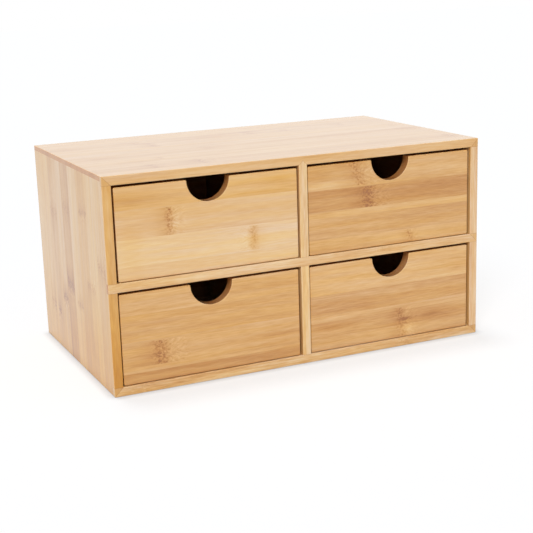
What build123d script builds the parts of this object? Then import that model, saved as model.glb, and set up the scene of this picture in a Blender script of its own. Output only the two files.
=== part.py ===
from build123d import *
from math import radians, tan
import os

# Bamboo desk cabinet with four small drawers, two across and two high.
# Millimetres. +X is to the right, +Y to the back and +Z up. The origin is on the table,
# under the middle of the cabinet.

# ---------------------------------------------------------------- driving dimensions: cabinet
CABINET_WIDTH = 330.0
CABINET_DEPTH = 195.0
CABINET_HEIGHT = 171.0
BOARD = 7.2              # thickness of every board of the cabinet but the back
BACK_BOARD = 4.0         # thickness of the back panel
BACK_LAP = 3.2           # how far the back panel laps onto the boards round it
BACK_RECESS = 0.5        # how far the back panel lies in from the cabinet's rear face
TOP_LIP = 4.0            # thickness of the top panel where it laps over the sides
SIDE_LIP = 3.2           # thickness of the sides where they lap the bottom panel's ends
SHELF_HOUSING = 3.2      # how deep the shelf is let into each side
NOSE_DEPTH = 4.0         # front stretch in which the corners are mitred and the shelf runs through
TONGUE = 2.0             # how deep a divider's end is let into the shelf or the bottom
TONGUE_SETBACK = 10.0    # how far a divider's tongue starts behind the front
EDGE_EASE = 0.6          # radius on the cabinet's outer edges
MOUTH_EASE = 0.4         # bevel on the front edges round each bay
MOUTH_ANGLE = 45         # slope of that bevel, degrees

# ---------------------------------------------------------------- driving dimensions: drawers
FACE_BOARD = 9.0         # thickness of a drawer front
FACE_RECESS = 1.5        # how far a closed drawer front lies in from the cabinet's front
FACE_LIP = 5.0           # thickness of the drawer front where it covers a side's end
DRAWER_SIDE = 5.0        # thickness of a drawer's side
DRAWER_BACK = 5.0        # thickness of a drawer's back
DRAWER_BOTTOM = 3.0      # thickness of a drawer's bottom
BOX_DROP = 3.0           # how much lower the sides and the back are than the front
GROOVE_HEIGHT = 4.0      # from a drawer's lower edge up to its bottom panel
GROOVE_DEPTH = 2.5       # how deep the bottom panel enters the boards round it
BACK_HOUSING = 2.5       # how deep a drawer's back enters its sides
NOTCH_RADIUS = 17.5      # finger notch in the front's upper edge
NOTCH_DROP = 0.5         # centre of the notch, below the front's upper edge
NOTCH_ROUND = 1.2        # where the notch meets the upper edge
CORNER_ROUND = 1.2       # corners of the front, seen from the front
FACE_EASE = 0.5          # bevel round the front's outer face and round its notch
RIM_ROUND = 1.0          # radius along the upper edges of the sides and the back

# ---------------------------------------------------------------- clearances
SIDE_GAP = 1.6           # on each side of a drawer in the middle of its bay
TOP_GAP = 2.2            # above a drawer front
RUN_GAP = 0.3            # under a drawer
REAR_GAP = 3.0           # behind a closed drawer

# One row per bay: its name, column (-1 left, 1 right), row (0 lower, 1 upper), and how far the
# loose drawer lies to the right of the middle of its bay, as a share of the side gap.
BAYS = [
    ("upper_left", -1, 1, 0.20),
    ("upper_right", 1, 1, -0.30),
    ("lower_left", -1, 0, -0.25),
    ("lower_right", 1, 0, -0.30),
]

# ---------------------------------------------------------------- worked out from the above
HALF_WIDTH = CABINET_WIDTH / 2
HALF_BOARD = BOARD / 2
INNER_X = HALF_WIDTH - BOARD
CEILING_Z = CABINET_HEIGHT - BOARD
FRONT_Y = -CABINET_DEPTH / 2
REAR_Y = CABINET_DEPTH / 2
NOSE_Y = FRONT_Y + NOSE_DEPTH
BACK_SEAT_Y = REAR_Y - BACK_RECESS - BACK_BOARD
BAY_WIDTH = (CABINET_WIDTH - 3 * BOARD) / 2
BAY_HEIGHT = (CABINET_HEIGHT - 3 * BOARD) / 2
SHELF_Z = BOARD + BAY_HEIGHT
SHELF_TOP_Z = SHELF_Z + BOARD

FACE_WIDTH = BAY_WIDTH - 2 * SIDE_GAP
FACE_HEIGHT = BAY_HEIGHT - TOP_GAP - RUN_GAP
FACE_Y = FRONT_Y + FACE_RECESS
FACE_REAR_Y = FACE_Y + FACE_BOARD
SIDE_START_Y = FACE_Y + FACE_LIP
BOX_REAR_Y = BACK_SEAT_Y - REAR_GAP
BOX_HEIGHT = FACE_HEIGHT - BOX_DROP
BOX_INNER_X = FACE_WIDTH / 2 - DRAWER_SIDE
BOX_BACK_Y = BOX_REAR_Y - DRAWER_BACK

FULL_DEPTH = (FRONT_Y, REAR_Y)
NOSE = (FRONT_Y, NOSE_Y)
BEHIND_NOSE = (NOSE_Y, REAR_Y)
TO_BACK_PANEL = (FRONT_Y, BACK_SEAT_Y)


# ---------------------------------------------------------------- building blocks
def block(x, y, z):
    """A box between the low and the high value given for each axis."""
    middle = [(low + high) / 2 for low, high in (x, y, z)]
    size = [high - low for low, high in (x, y, z)]
    return Pos(*middle) * Box(*size)


def prism(outline, y):
    """A prism with the outline given as (x, z) points, between two y values."""
    points = [(px, y[0], pz) for px, pz in outline]
    face = make_face(Polyline(*points, close=True))
    return extrude(face, amount=y[1] - y[0], dir=(0, 1, 0))


def across(side, near, far):
    """The x span between two distances from the middle, on the left (-1) or the right (1)."""
    return tuple(sorted((side * near, side * far)))


# ---------------------------------------------------------------- shared shapes of the cabinet
def key_prism(side, inner_z, outer_z):
    """The triangle between a mitre line and the end of a side's front edge.

    The mitre line runs from the inner corner, at inner_z, to the outer corner, at outer_z.
    """
    inner = side * INNER_X
    outer = side * HALF_WIDTH
    return prism([(inner, inner_z), (outer, inner_z), (outer, outer_z)], NOSE)


def back_rebate():
    """The space of the back panel and of the recess behind it."""
    reach = INNER_X + BACK_LAP
    return block((-reach, reach), (BACK_SEAT_Y, REAR_Y), (BOARD - BACK_LAP, CEILING_Z + BACK_LAP))


def divider_point():
    """The pointed upper end of the upper divider, which fills a V in the top panel."""
    outline = [(-HALF_BOARD, CEILING_Z), (HALF_BOARD, CEILING_Z), (0, CEILING_Z + HALF_BOARD)]
    return prism(outline, TO_BACK_PANEL)


def divider_tongue(low_z, high_z):
    """A divider's end where it is let into the board above or below it."""
    return block((-HALF_BOARD, HALF_BOARD), (FRONT_Y + TONGUE_SETBACK, BACK_SEAT_Y), (low_z, high_z))


def eased_outline():
    """The whole cabinet as one block with softened edges, to trim every board to."""
    whole = block((-HALF_WIDTH, HALF_WIDTH), FULL_DEPTH, (0, CABINET_HEIGHT))
    return fillet(whole.edges(), EDGE_EASE)


def bay_mouths():
    """The bevelled mouths of the four bays, as one cutter."""
    mouths = Part()
    for _, column, row, _ in BAYS:
        centre_x = column * (BAY_WIDTH + BOARD) / 2
        centre_z = BOARD + BAY_HEIGHT / 2 + row * (BAY_HEIGHT + BOARD)
        flare = 2 * MOUTH_EASE * tan(radians(MOUTH_ANGLE))
        opening = Rectangle(BAY_WIDTH + flare, BAY_HEIGHT + flare)
        plane = Plane(origin=(centre_x, FRONT_Y, centre_z), x_dir=(1, 0, 0), z_dir=(0, 1, 0))
        mouths += extrude(plane * opening, amount=MOUTH_EASE, taper=MOUTH_ANGLE)
    return mouths


# ---------------------------------------------------------------- boards of the cabinet
def top_panel():
    """Laps over both sides, with mitred front corners and a V for the upper divider."""
    panel = block((-HALF_WIDTH, HALF_WIDTH), FULL_DEPTH, (CEILING_Z, CABINET_HEIGHT))
    for side in (-1, 1):
        lap = across(side, INNER_X, HALF_WIDTH)
        panel -= block(lap, BEHIND_NOSE, (CEILING_Z, CABINET_HEIGHT - TOP_LIP))
        panel -= key_prism(side, CEILING_Z, CABINET_HEIGHT)
    return panel - divider_point() - back_rebate()


def bottom_panel():
    """Lies between the sides' lower lips and runs out to the mitred corners at the front."""
    reach = HALF_WIDTH - SIDE_LIP
    panel = block((-reach, reach), FULL_DEPTH, (0, BOARD))
    panel += block((-HALF_WIDTH, HALF_WIDTH), NOSE, (0, BOARD))
    for side in (-1, 1):
        panel -= key_prism(side, BOARD, 0)
    return panel - divider_tongue(BOARD - TONGUE, BOARD) - back_rebate()


def side_panel(side):
    """One upright side: under the top's lip, round the bottom's end, housed for the shelf."""
    full = across(side, INNER_X, HALF_WIDTH)
    panel = block(full, FULL_DEPTH, (0, CABINET_HEIGHT - TOP_LIP))
    panel -= block(full, NOSE, (CEILING_Z, CABINET_HEIGHT))
    panel -= block(full, NOSE, (0, BOARD))
    panel -= block(across(side, INNER_X, HALF_WIDTH - SIDE_LIP), FULL_DEPTH, (0, BOARD))
    panel -= block(full, NOSE, (SHELF_Z, SHELF_TOP_Z))
    housing = across(side, INNER_X, INNER_X + SHELF_HOUSING)
    panel -= block(housing, TO_BACK_PANEL, (SHELF_Z, SHELF_TOP_Z))
    return panel - back_rebate()


def middle_shelf():
    """Housed in the sides; its front edge runs through to both outer faces."""
    reach = INNER_X + SHELF_HOUSING
    shelf = block((-reach, reach), TO_BACK_PANEL, (SHELF_Z, SHELF_TOP_Z))
    shelf += block((-HALF_WIDTH, HALF_WIDTH), NOSE, (SHELF_Z, SHELF_TOP_Z))
    shelf -= key_prism(1, SHELF_TOP_Z, SHELF_Z)
    shelf -= divider_tongue(SHELF_Z, SHELF_Z + TONGUE)
    return shelf - divider_tongue(SHELF_TOP_Z - TONGUE, SHELF_TOP_Z)


def upper_divider():
    """Pointed at the top, with a stopped tongue in the shelf."""
    divider = block((-HALF_BOARD, HALF_BOARD), TO_BACK_PANEL, (SHELF_TOP_Z, CEILING_Z))
    return divider + divider_point() + divider_tongue(SHELF_TOP_Z - TONGUE, SHELF_TOP_Z)


def lower_divider():
    """Square at both ends, with stopped tongues in the shelf and the bottom."""
    divider = block((-HALF_BOARD, HALF_BOARD), TO_BACK_PANEL, (BOARD, SHELF_Z))
    return divider + divider_tongue(BOARD - TONGUE, BOARD) + divider_tongue(SHELF_Z, SHELF_Z + TONGUE)


def back_panel():
    """Thin board in the rebate round the back."""
    reach = INNER_X + BACK_LAP
    depth = (BACK_SEAT_Y, REAR_Y - BACK_RECESS)
    return block((-reach, reach), depth, (BOARD - BACK_LAP, CEILING_Z + BACK_LAP))


def cabinet_pieces():
    """Every piece of the cabinet by name, trimmed to the eased outline."""
    boards = {
        "top_panel": top_panel(),
        "bottom_panel": bottom_panel(),
        "left_side": side_panel(-1),
        "right_side": side_panel(1),
        "middle_shelf": middle_shelf(),
        "upper_divider": upper_divider(),
        "lower_divider": lower_divider(),
        "top_left_corner_key": key_prism(-1, CEILING_Z, CABINET_HEIGHT),
        "top_right_corner_key": key_prism(1, CEILING_Z, CABINET_HEIGHT),
        "bottom_left_corner_key": key_prism(-1, BOARD, 0),
        "bottom_right_corner_key": key_prism(1, BOARD, 0),
        "shelf_end_key": key_prism(1, SHELF_TOP_Z, SHELF_Z),
    }
    outline = eased_outline()
    mouths = bay_mouths()
    pieces = {name: (board & outline) - mouths for name, board in boards.items()}
    pieces["back_panel"] = back_panel()
    return pieces


# ---------------------------------------------------------------- drawer pieces
# Each is made with x from the middle of the drawer and z from its lower edge.
def face_outline():
    """The drawer front seen from the front, with its finger notch."""
    outline = fillet(Rectangle(FACE_WIDTH, FACE_HEIGHT).vertices(), CORNER_ROUND)
    top = FACE_HEIGHT / 2
    outline -= Pos(0, top - NOTCH_DROP) * Circle(NOTCH_RADIUS)
    upper = outline.vertices().filter_by_position(Axis.Y, top - NOTCH_DROP / 2, top + NOTCH_DROP)
    brims = upper.filter_by_position(Axis.X, -NOTCH_RADIUS, NOTCH_RADIUS)
    return fillet(brims, NOTCH_ROUND)


def side_block(side):
    """The plain space of one drawer side."""
    width = across(side, BOX_INNER_X, FACE_WIDTH / 2)
    return block(width, (SIDE_START_Y, BOX_REAR_Y), (0, BOX_HEIGHT))


def back_block():
    """The plain space of the drawer's back, with its ends in the sides."""
    reach = BOX_INNER_X + BACK_HOUSING
    return block((-reach, reach), (BOX_BACK_Y, BOX_REAR_Y), (0, BOX_HEIGHT))


def drawer_bottom():
    """Thin board in grooves all round."""
    reach = BOX_INNER_X + GROOVE_DEPTH
    depth = (FACE_REAR_Y - GROOVE_DEPTH, BOX_BACK_Y + GROOVE_DEPTH)
    return block((-reach, reach), depth, (GROOVE_HEIGHT, GROOVE_HEIGHT + DRAWER_BOTTOM))


def drawer_front():
    """Notched front, rebated behind for the sides and grooved for the bottom."""
    plane = Plane(origin=(0, FACE_Y, FACE_HEIGHT / 2), x_dir=(1, 0, 0), z_dir=(0, -1, 0))
    front = extrude(plane * face_outline(), amount=-FACE_BOARD)
    front = chamfer(front.faces().sort_by(Axis.Y)[0].edges(), FACE_EASE)
    return front - side_block(-1) - side_block(1) - drawer_bottom()


def drawer_side(side):
    """Rounded along its upper edges, housed for the back and grooved for the bottom."""
    board = side_block(side)
    rim = board.edges().group_by(Axis.Z)[-1].filter_by(Axis.Y)
    return fillet(rim, RIM_ROUND) - back_block() - drawer_bottom()


def drawer_back():
    """Rounded along its upper edges and grooved for the bottom."""
    board = back_block()
    rim = board.edges().group_by(Axis.Z)[-1].filter_by(Axis.X)
    return fillet(rim, RIM_ROUND) - drawer_bottom()


def drawer_pieces():
    """The four drawers' pieces by name, each drawer in its bay."""
    parts = {
        "front": drawer_front(),
        "left_side": drawer_side(-1),
        "right_side": drawer_side(1),
        "back": drawer_back(),
        "bottom": drawer_bottom(),
    }
    pieces = {}
    for bay, column, row, lean in BAYS:
        centre_x = column * (BAY_WIDTH + BOARD) / 2 + lean * SIDE_GAP
        floor_z = BOARD + row * (BAY_HEIGHT + BOARD) + RUN_GAP
        for name, part in parts.items():
            pieces[f"{bay}_drawer_{name}"] = Pos(centre_x, 0, floor_z) * part
    return pieces


# ---------------------------------------------------------------- files
os.makedirs("parts", exist_ok=True)
for node, piece in {**cabinet_pieces(), **drawer_pieces()}.items():
    export_step(piece, f"parts/{node}.step")
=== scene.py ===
import math
import random

import bpy
from mathutils import Matrix, Vector


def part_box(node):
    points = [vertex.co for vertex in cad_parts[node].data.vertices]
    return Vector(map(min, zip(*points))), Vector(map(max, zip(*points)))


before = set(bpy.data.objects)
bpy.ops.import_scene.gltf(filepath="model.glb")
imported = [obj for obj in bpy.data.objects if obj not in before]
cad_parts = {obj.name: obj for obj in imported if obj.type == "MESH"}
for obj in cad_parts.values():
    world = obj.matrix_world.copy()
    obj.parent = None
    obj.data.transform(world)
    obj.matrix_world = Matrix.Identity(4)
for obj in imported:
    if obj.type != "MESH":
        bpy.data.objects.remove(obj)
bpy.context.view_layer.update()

# Bamboo desk cabinet with four small drawers. Metres in the scene; the bamboo's own
# measures, such as its strips and marks, are in millimetres.

MM = 0.001
IMAGE_WIDTH = 533              # pixels of the photograph, which is square

# ---------------------------------------------------------------- camera
CAMERA_PLACE = (-0.4145, -0.9308, 0.3162)
CAMERA_YAW = -24.52            # degrees; turns the view from +Y towards the right
CAMERA_PITCH = 14.10           # degrees below the horizon
CAMERA_ROLL = -1.83            # degrees
FOCAL_PIXELS = 1193.6          # focal length, in pixels of the photograph
SENSOR_WIDTH = 36.0            # millimetres

# ---------------------------------------------------------------- light and floor
AMBIENT = 0.33                 # what the surroundings give to matt surfaces
OVERHEAD = {"towards": (-0.05, 0.20, 1.0), "strength": 0.94, "spread": 12.0}
FILL = {"towards": (-0.42, -0.66, 0.62), "strength": 1.89, "spread": 28.0}
FLOOR_REACH = 6.0              # from the middle to each side
FLOOR_COLOUR = 0.80            # of the light that it throws back on the object
FLOOR_SHOWN = (0.395, 0.40, 0.41)   # of the light that it shows; the glow below makes it white
FLOOR_LIFT = 0.60              # the floor's glow where nothing stands near
CONTACT_LIFT = 0.05            # and in a place that is closed in on all sides
CONTACT_REACH = 0.008          # how near a wall has to be to darken the floor
CONTACT_SAMPLES = 8

# ---------------------------------------------------------------- bamboo colours, as they are seen
SHADES = [                     # from the brownest wood to the palest, at these tones
    (0.00, (0.400, 0.155, 0.045)),
    (0.17, (0.512, 0.226, 0.062)),
    (0.33, (0.609, 0.302, 0.096)),
    (0.50, (0.691, 0.383, 0.136)),
    (0.65, (0.763, 0.461, 0.197)),
    (0.81, (0.814, 0.546, 0.277)),
    (0.93, (0.849, 0.609, 0.349)),
    (1.00, (0.865, 0.640, 0.385)),
]
WARMTH_RED = 0.012             # what one step of warmth adds to red, as a share
WARMTH_BLUE = -0.09            # and to blue
WARMTH_SCALE = 10.0            # warmth is kept in a ramp as 0.5 + warmth / this
CUT_END = (0.87, 0.65, 0.42)   # what the wood's colour is multiplied by on sawn ends
RIM_END_AND_SHADE = (0.58, 0.43, 0.36)   # and on all edges of the drawer fronts: browner sawn wood and painted shade of the notch walls and the gaps round the drawers
PORE_COLOUR = (0.70, 0.58, 0.45)    # what it is multiplied by in the pores of sawn wood
GLUE_COLOUR = (0.35, 0.22, 0.12)    # on a full glue line between the strips of a board
SEAM_COLOUR = (0.45, 0.24, 0.12)    # and on one between two boards
PORE_DEPTH = 0.5               # the share of each of these three colours that is used
GLUE_DARKNESS = 0.10
SEAM_DARKNESS = 0.38
MARK_DEPTH = 0.30              # how much darker in tone a full-strength bamboo node is
MARK_WARMTH = -0.3             # and what it adds to the warmth
EDGE_WEAR_AND_HIGHLIGHT = 0.10               # how much paler in tone an eased edge is: partly wear, partly painted highlight
THREAD_WARMTH = 6.0            # how far the warmth swings from thread to thread
THREAD_TONE = {"Band": 0.38, "Streak": 0.29, "Fibre": 0.48}    # how far each moves the tone
STRIP_TONES = (0.48, 0.68)     # range of tone where strips are seeded
STRIP_WARMTH_SWING = 1.5       # and how far their warmth goes up and down
INSIDE_WARMTH = -2.5           # the plainer wood of the drawers' boxes and of the back

# ---------------------------------------------------------------- bamboo surface
ROUGHNESS = 0.42               # of the wood under the lacquer
CUT_ROUGHNESS = 0.18           # what a sawn end adds
FIBRE_ROUGHNESS = 0.16         # what the fibres add and take away
COAT_ROUGHNESS = 0.12
REFRACTION = 1.5               # of the wood and of the lacquer
WOOD_SPECULAR = 0.05           # weak, because the wood lies under the lacquer
BUMP_STRENGTH = 0.10
BUMP_DEPTH = 0.12 * MM
FIBRE_RELIEF = 0.6             # shares of that depth
STREAK_RELIEF = 0.5
GLUE_RELIEF = 0.5
SEAM_RELIEF = 2.0

# ---------------------------------------------------------------- where a look begins, and where it is full
FRONT_FROM = (0.5, 0.6)        # of how squarely a surface faces the front: an edge's own look
FLAT_FROM = (0.85, 0.97)       # of how squarely it faces the nearest axis: flat, and not eased
CUT_FROM = (0.6, 0.9)          # of how squarely it faces along the grain: a sawn end
RIM_UNTIL = (0.1, 0.4)         # of how squarely it faces the front: a rim below, none above
PORE_FROM = (0.02, 0.16)       # of the noise: a pore
STIPPLE_FROM = (-0.08, 0.12)   # of the noise: a dark stipple
MARK_BORDER = (-0.1, 0.8)      # of the millimetres inside its border: a bamboo node

# ---------------------------------------------------------------- bamboo measures, in millimetres
THREADS = [                    # length, width and detail of the features drawn out along the grain
    ("Fibre", 13.0, 1.0, 3.0),
    ("Streak", 60.0, 2.8, 2.0),
    ("Band", 120.0, 8.0, 1.0),
    ("Warmth", 90.0, 4.5, 1.0),
]
THREAD_BREAKUP = 0.55          # how rough the threads' noise is, from 0 to 1
WAVE_LENGTH = 60.0             # the threads wander slowly to the side
WAVE_WIDTH = 22.0
WAVE_REACH = 2.5
KNOT_LENGTH = 3.2              # and quickly where a bamboo node stirs them
KNOT_WIDTH = 2.6
KNOT_REACH = 6.0
STRIP_SHIFT_ALONG = 900.0      # so that no strip has the threads of another
STRIP_SHIFT_ACROSS = 310.0
STRIP_WIDTH = 21.0             # usual width of a glued strip
RAMP_BELOW = 60.0              # the ramp of strips starts this far below the lowest one's upper edge
RAMP_ABOVE = 5.0               # and ends this far above the board
GLUE_HALF = 0.16               # half the width of a glue line between strips
SEAM_WIDTH = 0.22
SEAM_TOUCH = 0.1               # how near its border a board still has the line
PORE_SIZE = 0.9
MARK_SPACING = 235.0           # from one bamboo node of a strip to the next, where they're seeded
STRIP_TURN = 7.0               # how far the seeded nodes of the strips are out of step, in spacings

# ---------------------------------------------------------------- one bamboo node, in millimetres
CORE_WIDTH = 3.0               # the stippled bar in its middle
CORE_LEAST = 0.22              # how dark that is between the stipples
HALO_PLACE = -4.5              # the soft shade on its plain side
HALO_WIDTH = 6.5
HALO_DEPTH = 0.34
FEATHER_PLACE = 4.0            # the stirred fibres on its other side
FEATHER_WIDTH = 7.0
FEATHER_DEPTH = 2.1
STIR_PLACE = 3.0               # where the threads of the wood are stirred with them
STIR_WIDTH = 7.0
MARK_WAVER = 6.0               # how far the node wanders along the grain
WAVER_SCALE = 0.30             # features for each millimetre, here and in the next four
STIPPLE_ALONG = 0.46
STIPPLE_ACROSS = 0.50
STROKE_ALONG = 0.16
STROKE_ACROSS = 0.62
STROKE_SLANT = 0.55            # how steeply the feathering runs outwards
STROKE_SEED = 0.37             # makes the feathering differ from node to node
MARK_BREAKUP = 0.6             # how rough the noise of both is, from 0 to 1


# ---------------------------------------------------------------- shader nodes
class Nodes:
    """Adds nodes to one shader tree. A socket's value is a number, a tuple or another output."""

    def __init__(self, tree):
        self.tree = tree

    def put(self, socket, value):
        if isinstance(value, bpy.types.NodeSocket):
            self.tree.links.new(value, socket)
        elif value is not None:
            socket.default_value = value

    def add(self, kind, inputs=None, **settings):
        node = self.tree.nodes.new(kind)
        for name, value in settings.items():
            setattr(node, name, value)
        for name, value in (inputs or {}).items():
            self.put(node.inputs[name], value)
        return node

    def math(self, operation, a, b=None):
        inputs = {0: a} if b is None else {0: a, 1: b}
        return self.add("ShaderNodeMath", inputs, operation=operation).outputs[0]

    def plus(self, a, b):
        return self.math("ADD", a, b)

    def minus(self, a, b):
        return self.math("SUBTRACT", a, b)

    def times(self, a, b):
        return self.math("MULTIPLY", a, b)

    def square(self, a):
        return self.math("MULTIPLY", a, a)

    def size(self, a):
        return self.math("ABSOLUTE", a)

    def bell(self, value, width):
        """1 where value is 0, falling away over the width."""
        return self.math("EXPONENT", self.times(self.square(self.math("DIVIDE", value, width)), -1.0))

    def between(self, value, low, high, kind="SMOOTHSTEP"):
        """0 below low, 1 above high."""
        inputs = {"Value": value, "From Min": low, "From Max": high}
        return self.add("ShaderNodeMapRange", inputs, interpolation_type=kind).outputs["Result"]

    def blend(self, a, b, share):
        """a where share is 0, b where it is 1."""
        return self.plus(a, self.times(self.minus(b, a), share))

    def vector(self, x, y, z):
        return self.add("ShaderNodeCombineXYZ", {"X": x, "Y": y, "Z": z}).outputs[0]

    def noise(self, vector, detail=2.0, roughness=0.5):
        """Noise about 0, from -0.5 to 0.5, with features of about one unit of the vector."""
        inputs = {"Vector": vector, "Scale": 1.0, "Detail": detail, "Roughness": roughness}
        return self.minus(self.add("ShaderNodeTexNoise", inputs).outputs[0], 0.5)

    def ramp(self, value, stops, interpolation="LINEAR"):
        """A colour ramp with its stops given as (place, colour)."""
        node = self.add("ShaderNodeValToRGB", {"Fac": value})
        ramp = node.color_ramp
        ramp.interpolation = interpolation
        while len(ramp.elements) < len(stops):
            ramp.elements.new(1.0)
        for element, (place, colour) in zip(ramp.elements, stops):
            element.position = place
            element.color = (*colour, 1)
        return node.outputs["Color"]

    def tint(self, colour, other, amount=1.0):
        """The colour multiplied by another, by an amount from 0 to 1."""
        node = self.add("ShaderNodeMix", data_type="RGBA", blend_type="MULTIPLY")
        self.put(node.inputs["Factor"], amount)
        self.put(node.inputs[6], colour)
        self.put(node.inputs[7], (*other, 1) if isinstance(other, tuple) else other)
        return node.outputs[2]

    def use(self, tree, values):
        """The outputs of a node group with these inputs."""
        return self.add("ShaderNodeGroup", values, node_tree=tree).outputs


def new_group(name, inputs, outputs):
    """A node group of plain numbers, with its inputs and what sets its outputs."""
    tree = bpy.data.node_groups.new(name, "ShaderNodeTree")
    for label in inputs:
        tree.interface.new_socket(label, in_out="INPUT", socket_type="NodeSocketFloat")
    for label in outputs:
        tree.interface.new_socket(label, in_out="OUTPUT", socket_type="NodeSocketFloat")
    nodes = Nodes(tree)
    return nodes, nodes.add("NodeGroupInput").outputs, nodes.add("NodeGroupOutput").inputs


def mark_group():
    """One bamboo node across a strip: a soft shade on one side, a stippled core, and pale and
    dark feathering on the other side, where the fibres are stirred."""
    labels = ["Along", "Across", "At along", "At across", "Half", "Lean", "Strength", "Spread", "Side"]
    nodes, given, result = new_group("bamboo_mark", labels, ["Dark", "Stir"])
    along, across, spread = given["Along"], given["Across"], given["Spread"]
    offset = nodes.minus(across, given["At across"])
    waver = nodes.noise(nodes.vector(given["At along"], nodes.times(across, WAVER_SCALE), 0.0))
    place = nodes.plus(given["At along"], nodes.times(given["Lean"], offset))
    away = nodes.plus(nodes.minus(along, place), nodes.times(waver, MARK_WAVER))
    away = nodes.math("DIVIDE", nodes.times(away, given["Side"]), spread)
    inside = nodes.between(nodes.minus(given["Half"], nodes.size(offset)), *MARK_BORDER)

    stipple_at = nodes.vector(nodes.times(along, STIPPLE_ALONG), nodes.times(across, STIPPLE_ACROSS), 3.0)
    stipple = nodes.between(nodes.noise(stipple_at, 3.0, MARK_BREAKUP), *STIPPLE_FROM)
    outward = nodes.times(away, spread)
    slanted = nodes.minus(nodes.size(offset), nodes.times(outward, STROKE_SLANT))
    stroke_at = nodes.vector(
        nodes.times(nodes.plus(outward, nodes.size(offset)), STROKE_ALONG),
        nodes.times(slanted, STROKE_ACROSS),
        nodes.times(given["At along"], STROKE_SEED),
    )
    stroke = nodes.noise(stroke_at, 2.0, MARK_BREAKUP)

    core = nodes.times(nodes.bell(away, CORE_WIDTH), nodes.plus(stipple, CORE_LEAST))
    halo = nodes.times(nodes.bell(nodes.minus(away, HALO_PLACE), HALO_WIDTH), HALO_DEPTH)
    feather = nodes.bell(nodes.minus(away, FEATHER_PLACE), FEATHER_WIDTH)
    feather = nodes.times(feather, nodes.times(stroke, FEATHER_DEPTH))
    stir = nodes.bell(nodes.minus(away, STIR_PLACE), STIR_WIDTH)
    reach = nodes.times(inside, given["Strength"])
    nodes.put(result["Dark"], nodes.times(nodes.plus(nodes.plus(core, halo), feather), reach))
    nodes.put(result["Stir"], nodes.times(stir, reach))
    return nodes.tree


def patch_group():
    """A long soft patch of darker and warmer wood, or of paler wood where its depth is negative."""
    labels = ["Along", "Across", "At along", "At across", "Long", "Wide", "Depth", "Warm"]
    nodes, given, result = new_group("bamboo_patch", labels, ["Dark", "Warm"])
    along = nodes.bell(nodes.minus(given["Along"], given["At along"]), given["Long"])
    across = nodes.bell(nodes.minus(given["Across"], given["At across"]), given["Wide"])
    share = nodes.times(along, across)
    nodes.put(result["Dark"], nodes.times(share, given["Depth"]))
    nodes.put(result["Warm"], nodes.times(share, given["Warm"]))
    return nodes.tree


def grain_group():
    """Fibres, streaks and broad bands of the wood, drawn out along the grain."""
    labels = ["Along", "Across", "Through", "Strip", "Stir"]
    nodes, given, result = new_group("bamboo_grain", labels, [thread[0] for thread in THREADS])
    strip, sideways = given["Strip"], given["Across"]
    along = nodes.plus(given["Along"], nodes.times(strip, STRIP_SHIFT_ALONG))
    slow = nodes.vector(nodes.times(along, 1 / WAVE_LENGTH), nodes.times(sideways, 1 / WAVE_WIDTH), strip)
    wave = nodes.times(nodes.noise(slow), WAVE_REACH)
    quick = nodes.vector(nodes.times(along, 1 / KNOT_LENGTH), nodes.times(sideways, 1 / KNOT_WIDTH), strip)
    stirred = nodes.times(nodes.times(nodes.noise(quick, 1.0), KNOT_REACH), given["Stir"])
    across = nodes.plus(nodes.plus(sideways, wave), stirred)
    across = nodes.plus(across, nodes.times(strip, STRIP_SHIFT_ACROSS))
    for label, length, width, detail in THREADS:
        place = nodes.vector(
            nodes.times(along, 1 / length),
            nodes.times(across, 1 / width),
            nodes.times(given["Through"], 1 / width),
        )
        nodes.put(result[label], nodes.noise(place, detail, THREAD_BREAKUP))
    return nodes.tree


def seam_group():
    """A glue line between two boards: 1 on the line from one (x, z) place to another."""
    labels = ["X", "Z", "Start X", "Start Z", "End X", "End Z"]
    nodes, given, result = new_group("bamboo_seam", labels, ["Dark"])
    runs = [nodes.minus(given["End " + axis], given["Start " + axis]) for axis in "XZ"]
    gone = [nodes.minus(given[axis], given["Start " + axis]) for axis in "XZ"]
    forward = nodes.plus(nodes.times(runs[0], gone[0]), nodes.times(runs[1], gone[1]))
    length = nodes.plus(nodes.square(runs[0]), nodes.square(runs[1]))
    share = nodes.between(nodes.math("DIVIDE", forward, length), 0.0, 1.0, "LINEAR")
    off = [nodes.minus(g, nodes.times(r, share)) for g, r in zip(gone, runs)]
    distance = nodes.math("SQRT", nodes.plus(nodes.square(off[0]), nodes.square(off[1])))
    nodes.put(result["Dark"], nodes.bell(distance, SEAM_WIDTH))
    return nodes.tree


MARK = mark_group()
PATCH = patch_group()
GRAIN = grain_group()
SEAM = seam_group()


# ---------------------------------------------------------------- the bamboo of one board
NOSE_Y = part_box("shelf_end_key")[1].y / MM   # the cabinet's front joints end here


def strip_look(nodes, across, strips):
    """The tone and warmth of the strip that a point lies in, and how near it is to a glue line.

    strips holds (upper edge in mm, tone, warmth) from the lowest strip up; the last upper edge
    is the board's.
    """
    low = strips[0][0] - RAMP_BELOW
    high = strips[-1][0] + RAMP_ABOVE
    share = nodes.between(across, low, high, "LINEAR")
    looks = []
    lines = [(0.0, (0, 0, 0))]
    half = GLUE_HALF / (high - low)
    lower = low
    for edge, tone, warmth in strips:
        looks.append(((lower - low) / (high - low), (tone, 0.5 + warmth / WARMTH_SCALE, 0)))
        place = (edge - low) / (high - low)
        if edge != strips[-1][0]:
            lines += [(place - half, (0, 0, 0)), (place, (1, 1, 1)), (place + half, (0, 0, 0))]
        lower = edge
    look = nodes.add("ShaderNodeSeparateColor", {0: nodes.ramp(share, looks, "CONSTANT")}).outputs
    warmth = nodes.times(nodes.minus(look[1], 0.5), WARMTH_SCALE)
    return look[0], warmth, nodes.ramp(share, lines)


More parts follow.
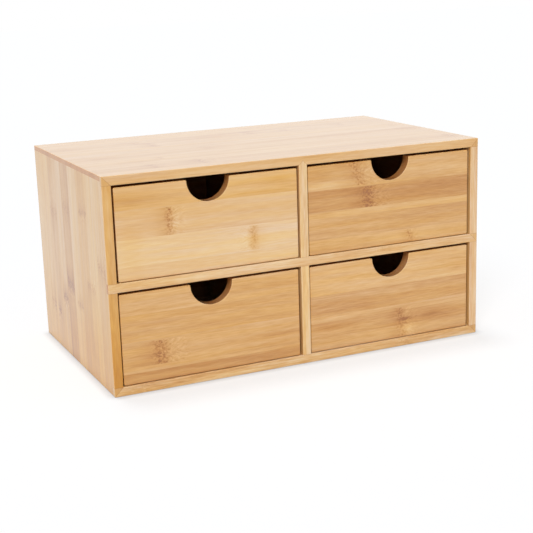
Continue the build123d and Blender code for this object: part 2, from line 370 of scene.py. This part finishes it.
def bamboo(name, board):
    """The lacquered bamboo of one board, which is a dict with

    grain, across      axis letters: along the fibres, and from strip to strip
    strips             (upper edge, tone, warmth) of each glued strip
    marks, patches     bamboo nodes and darker or paler places, as mark() and patch() give them
    spacing            distance between the seeded bamboo nodes on every strip, if it has them
    front              (tone, warmth) of the edge that faces the front, if that has its own
    seams              ((x, z), (x, z)) of the glue lines that meet the board at the front
    rim                True if all its edges are sawn, and only its front and back aren't; these edges get a browner colour with painted shade
    contrast, seed     strength of the grain, and what makes it differ from other boards
    """
    material = bpy.data.materials.new(name)
    material.use_nodes = True
    material.node_tree.nodes.clear()
    nodes = Nodes(material.node_tree)
    grain, sideways = board["grain"], board["across"]
    through = ({"X", "Y", "Z"} - {grain, sideways}).pop()
    seed, contrast = board["seed"], board.get("contrast", 1.0)
    coordinates = nodes.add("ShaderNodeTexCoord").outputs
    axes = nodes.add("ShaderNodeSeparateXYZ", {0: coordinates["Object"]}).outputs
    facing = nodes.add("ShaderNodeSeparateXYZ", {0: coordinates["Normal"]}).outputs
    facing = {axis: nodes.size(facing[axis]) for axis in "XYZ"}
    place = {axis: nodes.times(axes[axis], 1 / MM) for axis in "XYZ"}
    along, across = place[grain], place[sideways]

    tone, warmth, line = strip_look(nodes, across, board["strips"])
    strip = nodes.add("ShaderNodeTexWhiteNoise", {"W": nodes.plus(tone, seed)}, noise_dimensions="1D")
    strip = strip.outputs["Value"]

    here = {"Along": along, "Across": across}
    dark, stir = 0.0, 0.0
    for values in board.get("marks", ()):
        shade = nodes.use(MARK, {**here, **values})
        dark = nodes.plus(dark, shade["Dark"])
        stir = nodes.plus(stir, shade["Stir"])
    if "spacing" in board:
        turn = nodes.plus(nodes.times(along, 1 / board["spacing"]), nodes.times(strip, STRIP_TURN))
        turn = nodes.minus(nodes.math("FRACT", turn), 0.5)
        values = {**SEEDED_MARK, "Along": nodes.times(turn, board["spacing"])}
        shade = nodes.use(MARK, {**here, **values})
        dark = nodes.plus(dark, shade["Dark"])
        stir = nodes.plus(stir, shade["Stir"])
    wood = nodes.use(GRAIN, {**here, "Through": place[through], "Strip": strip, "Stir": stir})
    if "front" in board:
        front_tone, front_warmth = board["front"]
        to_front = nodes.between(facing["Y"], *FRONT_FROM)
        tone = nodes.blend(tone, front_tone, to_front)
        warmth = nodes.blend(warmth, front_warmth, to_front)
        dark = nodes.blend(dark, 0.0, to_front)
    for values in board.get("patches", ()):
        shade = nodes.use(PATCH, {**here, **values})
        tone = nodes.minus(tone, shade["Dark"])
        warmth = nodes.plus(warmth, shade["Warm"])
    squarest = nodes.math("MAXIMUM", facing["X"], nodes.math("MAXIMUM", facing["Y"], facing["Z"]))
    eased = nodes.minus(1.0, nodes.between(squarest, *FLAT_FROM))
    # Eased edges are made paler: partly wear, partly a painted highlight along them.
    tone = nodes.plus(tone, nodes.times(eased, EDGE_WEAR_AND_HIGHLIGHT))
    for label, reach in THREAD_TONE.items():
        tone = nodes.plus(tone, nodes.times(wood[label], reach * contrast))
    tone = nodes.minus(tone, nodes.times(dark, MARK_DEPTH))
    warmth = nodes.plus(warmth, nodes.times(wood["Warmth"], THREAD_WARMTH))
    warmth = nodes.plus(warmth, nodes.times(dark, MARK_WARMTH))

    red = nodes.plus(nodes.times(warmth, WARMTH_RED), 1.0)
    blue = nodes.plus(nodes.times(warmth, WARMTH_BLUE), 1.0)
    cast = nodes.add("ShaderNodeCombineColor", {0: red, 1: 1.0, 2: blue}).outputs[0]
    colour = nodes.tint(nodes.ramp(tone, SHADES), cast)
    colour = nodes.tint(colour, GLUE_COLOUR, nodes.times(line, GLUE_DARKNESS))

    if board.get("rim"):
        cut = nodes.minus(1.0, nodes.between(facing["Y"], *RIM_UNTIL))
    else:
        cut = nodes.between(facing[grain], *CUT_FROM)
    pores_at = nodes.vector(
        nodes.times(across, 1 / PORE_SIZE), nodes.times(place[through], 1 / PORE_SIZE), along
    )
    pores = nodes.between(nodes.noise(pores_at, 1.0), *PORE_FROM)
    # On drawer fronts every edge is darkened: browner sawn wood, and painted shade of the notch walls and
    # of the gaps round the drawers.
    colour = nodes.tint(colour, RIM_END_AND_SHADE if board.get("rim") else CUT_END, cut)
    colour = nodes.tint(colour, PORE_COLOUR, nodes.times(nodes.times(cut, pores), PORE_DEPTH))

    seam = 0.0
    for (start_x, start_z), (end_x, end_z) in board.get("seams", ()):
        start = {"Start X": start_x, "Start Z": start_z}
        end = {"End X": end_x, "End Z": end_z}
        glue = nodes.use(SEAM, {"X": place["X"], "Z": place["Z"], **start, **end})
        seam = nodes.math("MAXIMUM", seam, glue["Dark"])
    seam = nodes.times(seam, nodes.math("LESS_THAN", place["Y"], NOSE_Y))
    colour = nodes.tint(colour, SEAM_COLOUR, nodes.times(seam, SEAM_DARKNESS))

    fibres = nodes.times(wood["Fibre"], FIBRE_RELIEF)
    raised = nodes.plus(fibres, nodes.times(wood["Streak"], STREAK_RELIEF))
    sunk = nodes.plus(nodes.times(line, GLUE_RELIEF), nodes.times(seam, SEAM_RELIEF))
    relief = {"Height": nodes.minus(raised, sunk), "Strength": BUMP_STRENGTH, "Distance": BUMP_DEPTH}
    bump = nodes.add("ShaderNodeBump", relief)
    rough = nodes.plus(nodes.times(cut, CUT_ROUGHNESS), ROUGHNESS)
    rough = nodes.plus(nodes.times(wood["Fibre"], FIBRE_ROUGHNESS), rough)
    shader = nodes.add("ShaderNodeBsdfPrincipled", {
        "Base Color": colour, "Roughness": rough, "Normal": bump.outputs[0], "IOR": REFRACTION,
        "Coat Weight": 1.0, "Coat Roughness": COAT_ROUGHNESS, "Coat IOR": REFRACTION,
        "Specular IOR Level": WOOD_SPECULAR,
    })
    nodes.put(nodes.add("ShaderNodeOutputMaterial").inputs["Surface"], shader.outputs[0])
    return material


def mark(along, across, half=10.0, strength=1.0, lean=0.0, spread=1.0, side=1):
    """A bamboo node: its place in mm, half its width across the grain, how far it leans, how
    broad it is, and on which side it is feathered."""
    return {
        "At along": along, "At across": across, "Half": half, "Strength": strength,
        "Lean": lean, "Spread": spread, "Side": side,
    }


# what every strip of a board without marks of its own has, once in each spacing
SEEDED_MARK = mark(0.0, 0.0, half=1000.0, strength=0.55, lean=0.06, spread=1.1)


def patch(along, across, long, wide, depth, warm=0.0):
    """A darker place, or a paler one where its depth is below 0: where it is, how far it reaches
    along and across the grain, how much lower its tone is and how much warmer it is."""
    return {
        "At along": along, "At across": across, "Long": long, "Wide": wide,
        "Depth": depth, "Warm": warm,
    }


def seeded_strips(seed, low, high, warmth):
    """Glued strips of like width from low to high, in mm, each with its own tone and warmth."""
    rng = random.Random(seed)
    swing = STRIP_WARMTH_SWING
    edge = low + STRIP_WIDTH * rng.uniform(0.3, 1.0)
    strips = []
    while edge < high:
        strips.append((edge, rng.uniform(*STRIP_TONES), warmth + rng.uniform(-swing, swing)))
        edge += STRIP_WIDTH * rng.uniform(0.9, 1.1)
    strips.append((high, rng.uniform(*STRIP_TONES), warmth + rng.uniform(-swing, swing)))
    return strips


# ---------------------------------------------------------------- the boards that the photograph shows
# What bamboo() takes for each, in millimetres along and across its own grain, with tones from 0,
# the brownest, to 1. The other boards have seeded strips.
SHOWN = {
    "upper_left_drawer_front": {
        "strips": [(100.0, 0.77, 0.0), (121.0, 0.87, 0.0), (143.5, 0.71, -0.5), (170.0, 0.64, 1.5)],
        "marks": [mark(-113.0, 132.0, 11.0, 1.4), mark(-44.0, 110.5, 10.0, 0.75, spread=1.2, side=-1)],
        "patches": [patch(-140.0, 151.0, 35.0, 5.0, 0.14), patch(-127.0, 132.0, 12.0, 6.0, 0.08),
                    patch(-44.0, 110.5, 3.6, 9.5, 0.17, 0.5), patch(-20.0, 154.0, 14.0, 5.0, 0.08, 1.0),
                    patch(-146.0, 120.0, 10.0, 30.0, 0.06, 1.0)],
        "contrast": 0.70,
    },
    "upper_right_drawer_front": {
        "strips": [(100.5, 0.58, 1.0), (118.0, 0.50, -0.5), (123.0, 0.64, 1.0), (141.0, 0.38, -0.3),
                   (170.0, 0.59, 0.5)],
        "marks": [mark(49.5, 152.0, 10.5, 1.0, lean=-0.35, spread=1.7),
                  mark(59.5, 132.0, 9.0, 1.3, lean=-0.10, spread=1.8),
                  mark(98.5, 95.0, 5.5, 0.9, lean=-0.2, spread=0.9)],
        "patches": [patch(110.0, 134.0, 45.0, 5.0, 0.12), patch(11.0, 154.0, 14.0, 5.0, 0.16, 0.8),
                    patch(15.0, 92.0, 30.0, 2.0, 0.14), patch(22.0, 145.0, 20.0, 2.2, -0.16),
                    patch(125.0, 109.0, 35.0, 6.0, 0.06)],
        "contrast": 0.95,
    },
    "lower_left_drawer_front": {
        "strips": [(15.5, 0.39, 0.5), (41.0, 0.54, 0.5), (62.0, 0.52, 0.5), (85.0, 0.54, 0.5)],
        "marks": [mark(-125.0, 30.0, 10.0, 1.2, spread=2.0)],
        "patches": [patch(-25.0, 28.5, 22.0, 2.5, 0.14), patch(-60.0, 14.0, 70.0, 2.0, 0.10),
                    patch(-55.0, 56.0, 30.0, 4.0, 0.06), patch(-40.0, 40.0, 25.0, 4.0, -0.06)],
        "contrast": 0.95,
    },
    "lower_right_drawer_front": {
        "strips": [(18.0, 0.54, 0.0), (31.0, 0.46, 0.0), (36.0, 0.62, 0.0), (54.0, 0.46, -0.5),
                   (85.0, 0.62, 0.5)],
        "marks": [mark(90.5, 21.0, 13.0, 0.85, lean=-0.15, spread=1.5)],
        "patches": [patch(122.0, 24.5, 26.0, 4.5, 0.24), patch(22.0, 26.0, 20.0, 2.0, 0.18),
                    patch(40.0, 45.0, 40.0, 5.0, 0.08), patch(93.0, 23.0, 4.0, 1.5, 0.30),
                    patch(96.0, 14.0, 6.0, 4.5, -0.20, 1.5)],
        "contrast": 1.05,
    },
    "left_side": {
        "strips": [(-75.0, 0.69, 1.0), (-52.0, 0.76, 1.0), (-28.0, 0.61, 1.0), (-4.0, 0.75, 0.0),
                   (18.0, 0.47, -0.5), (35.0, 0.70, -1.0), (56.0, 0.61, -1.0), (98.0, 0.70, 0.0)],
        "marks": [mark(50.0, 26.5, 8.0, 1.9, 0.1, 1.3, -1), mark(65.5, 7.0, 10.5, 1.9, 0.0, 1.3, -1),
                  mark(54.0, -18.0, 9.0, 1.0, 0.0, 0.9, -1), mark(36.0, 67.0, 7.0, 1.0, 0.1, 1.6, -1),
                  mark(34.0, 49.0, 5.0, 1.4, 0.2, 1.2, -1), mark(121.0, 47.0, 10.0, 0.8, 0.0, 1.8, 1),
                  mark(130.0, 7.0, 9.0, 0.6, 0.0, 1.8, 1), mark(134.5, -41.0, 11.0, 1.0, -0.1, 0.9, -1),
                  mark(98.0, -84.0, 11.0, 0.9, 0.2, 1.6, 1), mark(77.0, -53.0, 11.0, 0.8, 0.1, 1.3, 1)],
        # The first, third and fourth patches, low down and at the top back corner, are painted reflection:
        # darker, warmer wood in place of the lacquer's weaker mirroring of the shaded floor and the far
        # backdrop there.
        "patches": [patch(0.0, 0.0, 55.0, 400.0, 0.20, 3.2), patch(22.0, 7.0, 28.0, 11.0, 0.06, 2.5),
                    patch(25.0, -60.0, 45.0, 50.0, 0.14, 3.0), patch(168.0, 85.0, 36.0, 36.0, 0.06, 2.5),
                    patch(165.0, -40.0, 22.0, 12.0, 0.12, 2.0), patch(165.0, 47.0, 12.0, 9.0, 0.14, 2.0)],
        "front": (0.53, 2.2),
    },
    "right_side": {"front": (0.72, -1.3), "contrast": 1.3},
    "top_panel": {
        "strips": [(-84.0, 0.66, 0.0), (-64.0, 0.56, -0.5), (-51.0, 0.62, 0.0), (-34.0, 0.57, 0.5),
                   (-18.0, 0.60, 0.0), (-2.0, 0.55, 0.0), (13.0, 0.64, -0.5), (24.0, 0.59, 1.0),
                   (42.0, 0.62, 0.0), (69.0, 0.55, -0.5), (98.0, 0.62, 1.0)],
        "marks": [mark(-78.5, 34.0, 13.0, 0.9, spread=1.4), mark(-88.0, 53.5, 8.0, 0.6, spread=1.6),
                  mark(19.0, 53.5, 9.0, 0.7, spread=1.6, side=-1), mark(114.0, 52.5, 8.0, 0.6),
                  mark(54.0, 48.5, 8.0, 0.5, spread=1.3), mark(151.0, 21.0, 8.0, 0.5, spread=1.5),
                  mark(-97.0, -39.0, 6.0, 0.7, spread=0.8), mark(-76.0, -71.5, 11.0, 0.9, spread=1.7),
                  mark(-116.0, -73.5, 10.0, 0.8, spread=1.4), mark(155.0, -68.5, 9.0, 0.8, spread=1.6),
                  mark(-46.0, -7.5, 9.0, 0.4, spread=1.5, side=-1)],
        "patches": [patch(-16.0, 51.0, 26.0, 10.0, 0.17, 2.5), patch(-151.0, 51.0, 14.0, 10.0, 0.12, 2.0),
                    patch(-140.0, -13.0, 18.0, 6.0, 0.20, 1.5), patch(-120.0, -43.0, 16.0, 7.0, 0.17, 1.0),
                    patch(75.0, -7.0, 62.0, 4.5, 0.17, 1.5), patch(149.0, -9.0, 12.0, 7.0, 0.20, 2.0),
                    patch(-60.0, -47.0, 28.0, 4.0, 0.10), patch(120.0, -71.0, 40.0, 7.0, 0.08, 1.5),
                    patch(-40.0, 10.0, 20.0, 30.0, 0.06), patch(-130.0, -97.0, 60.0, 3.0, 0.04)],
        "front": (0.65, 0.0),
    },
    "upper_divider": {"front": (0.81, 1.0), "contrast": 1.6},
    "lower_divider": {"front": (0.83, 1.0), "contrast": 1.6},
    "middle_shelf": {"front": (0.73, 0.0), "contrast": 1.5},
    # The bottom panel's front edge is set paler as painted light, making up for the shade that the floor's
    # shadow gives it.
    "bottom_panel": {"front": (0.68, 0.0), "contrast": 2.0},
    "top_left_corner_key": {"front": (0.56, 1.5)},
    "top_right_corner_key": {"front": (0.60, 0.5)},
    "bottom_left_corner_key": {"front": (0.46, 1.5)},
    "bottom_right_corner_key": {"front": (0.55, 0.0)},
    "shelf_end_key": {"front": (0.66, 0.5)},
}


def box_mm(node):
    """A node's lowest and highest corner, in millimetres."""
    return [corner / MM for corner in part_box(node)]


def corner_key_seams(node):
    """A key's mitre line, and the line along the end of the side that it lies on."""
    low, high = box_mm(node)
    inner, outer = sorted((low.x, high.x), key=abs)
    inner_z, outer_z = (low.z, high.z) if node.startswith("top") else (high.z, low.z)
    return [((inner, inner_z), (outer, outer_z)), ((inner, inner_z), (outer, inner_z))]


def cabinet_seams():
    """The glue lines between boards that end on the cabinet's front, as ((x, z), (x, z))."""
    seams = []
    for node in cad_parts:
        if node.endswith("_key"):
            seams += corner_key_seams(node)
    side_low, side_high = box_mm("left_side")
    shelf_low, shelf_high = box_mm("middle_shelf")
    low, high = box_mm("upper_divider")
    for z in (shelf_low.z, shelf_high.z):
        seams += [((side_low.x, z), (side_high.x, z)), ((-side_high.x, z), (-side_low.x, z))]
    for z in (shelf_low.z, shelf_high.z, box_mm("bottom_panel")[1].z):
        seams.append(((low.x, z), (high.x, z)))
    peak = (0.0, high.z)
    shoulder_z = high.z - high.x
    return seams + [((low.x, shoulder_z), peak), (peak, (high.x, shoulder_z))]


SEAMS = cabinet_seams()


def seams_of(node):
    """The glue lines that lie on a board or along its border."""
    low, high = box_mm(node)
    left, right = low.x - SEAM_TOUCH, high.x + SEAM_TOUCH
    under, over = low.z - SEAM_TOUCH, high.z + SEAM_TOUCH
    return [seam for seam in SEAMS if all(left < x < right and under < z < over for x, z in seam)]


def lie_of_grain(node):
    """The axes along a board's fibres and from strip to strip."""
    if node in ("top_panel", "bottom_panel", "middle_shelf") or node.endswith("drawer_bottom"):
        return "X", "Y"
    if node.endswith("divider") or node in ("left_side", "right_side"):
        return "Z", "Y"
    if node.endswith("_key"):
        return "Z", "X"
    if node.endswith(("drawer_left_side", "drawer_right_side")):
        return "Y", "Z"
    return "X", "Z"


def dress_boards():
    """Every CAD node gets the bamboo of its own board."""
    for number, node in enumerate(sorted(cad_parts)):
        grain, across = lie_of_grain(node)
        axis = "XYZ".index(across)
        low, high = box_mm(node)
        board = {"grain": grain, "across": across, "seed": float(number)}
        board.update(SHOWN.get(node, {}))
        if "strips" not in board:
            warmth = INSIDE_WARMTH if "drawer" in node or node == "back_panel" else 0.0
            board["strips"] = seeded_strips(number, low[axis], high[axis], warmth)
            board["spacing"] = MARK_SPACING
        if "drawer" in node:
            board["rim"] = node.endswith("front")
        else:
            board["seams"] = seams_of(node)
        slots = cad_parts[node].data.materials
        slots.clear()
        slots.append(bamboo(node, board))


# ---------------------------------------------------------------- camera, light and floor
def add_camera():
    yaw, pitch, roll = (math.radians(angle) for angle in (CAMERA_YAW, CAMERA_PITCH, CAMERA_ROLL))
    forward = Vector((-math.sin(yaw) * math.cos(pitch), math.cos(yaw) * math.cos(pitch), -math.sin(pitch)))
    level = Vector((math.cos(yaw), math.sin(yaw), 0))
    upright = level.cross(forward)
    right = level * math.cos(roll) + upright * math.sin(roll)
    up = upright * math.cos(roll) - level * math.sin(roll)
    data = bpy.data.cameras.new("camera")
    data.sensor_width = SENSOR_WIDTH
    data.lens = FOCAL_PIXELS * SENSOR_WIDTH / IMAGE_WIDTH
    data.clip_start = 0.01
    camera = bpy.data.objects.new("camera", data)
    axes = Matrix((right, up, -forward)).transposed()
    camera.matrix_world = Matrix.Translation(CAMERA_PLACE) @ axes.to_4x4()
    bpy.context.scene.collection.objects.link(camera)
    bpy.context.scene.camera = camera


def seen_directly(nodes):
    """1 for camera, mirror and see-through rays, which are shown the plain white studio."""
    path = nodes.add("ShaderNodeLightPath").outputs
    some = nodes.math("MAXIMUM", path["Is Camera Ray"], path["Is Glossy Ray"])
    return nodes.math("MAXIMUM", some, path["Is Transmission Ray"])


def add_world():
    world = bpy.data.worlds.new("studio")
    world.use_nodes = True
    world.node_tree.nodes.clear()
    nodes = Nodes(world.node_tree)
    strength = nodes.blend(AMBIENT, 1.0, seen_directly(nodes))
    background = nodes.add("ShaderNodeBackground", {"Color": (1, 1, 1, 1), "Strength": strength})
    nodes.put(nodes.add("ShaderNodeOutputWorld").inputs["Surface"], background.outputs[0])
    bpy.context.scene.world = world


def add_lamp(name, towards, strength, spread):
    """A far soft lamp in that direction. It lights matt surfaces evenly and isn't mirrored."""
    data = bpy.data.lights.new(name, "SUN")
    data.energy = strength
    data.angle = math.radians(spread)
    lamp = bpy.data.objects.new(name, data)
    lamp.location = Vector(towards).normalized()
    lamp.rotation_mode = "QUATERNION"
    lamp.rotation_quaternion = Vector(towards).to_track_quat("Z", "Y")
    lamp.visible_glossy = False
    bpy.context.scene.collection.objects.link(lamp)


def add_floor():
    """A wide pale floor that is shown white, but for the shadow of what stands on it."""
    mesh = bpy.data.meshes.new("floor")
    reach = FLOOR_REACH
    corners = [(-reach, -reach, 0), (reach, -reach, 0), (reach, reach, 0), (-reach, reach, 0)]
    mesh.from_pydata(corners, [], [(0, 1, 2, 3)])
    floor = bpy.data.objects.new("floor", mesh)
    bpy.context.scene.collection.objects.link(floor)
    material = bpy.data.materials.new("floor")
    material.use_nodes = True
    material.node_tree.nodes.clear()
    nodes = Nodes(material.node_tree)
    shown = seen_directly(nodes)
    parts = {place: nodes.blend(FLOOR_COLOUR, part, shown) for place, part in enumerate(FLOOR_SHOWN)}
    colour = nodes.add("ShaderNodeCombineColor", parts).outputs[0]
    matt = nodes.add("ShaderNodeBsdfDiffuse", {"Color": colour})
    near = nodes.add("ShaderNodeAmbientOcclusion", {"Distance": CONTACT_REACH}, samples=CONTACT_SAMPLES)
    lift = nodes.times(nodes.blend(CONTACT_LIFT, FLOOR_LIFT, near.outputs["AO"]), shown)
    glow = nodes.add("ShaderNodeEmission", {"Strength": lift})
    both = nodes.add("ShaderNodeAddShader", {0: matt.outputs[0], 1: glow.outputs[0]})
    nodes.put(nodes.add("ShaderNodeOutputMaterial").inputs["Surface"], both.outputs[0])
    mesh.materials.append(material)


add_camera()
add_world()
add_lamp("overhead", **OVERHEAD)
add_lamp("fill", **FILL)
add_floor()
dress_boards()
bpy.context.scene.view_settings.view_transform = "Standard"
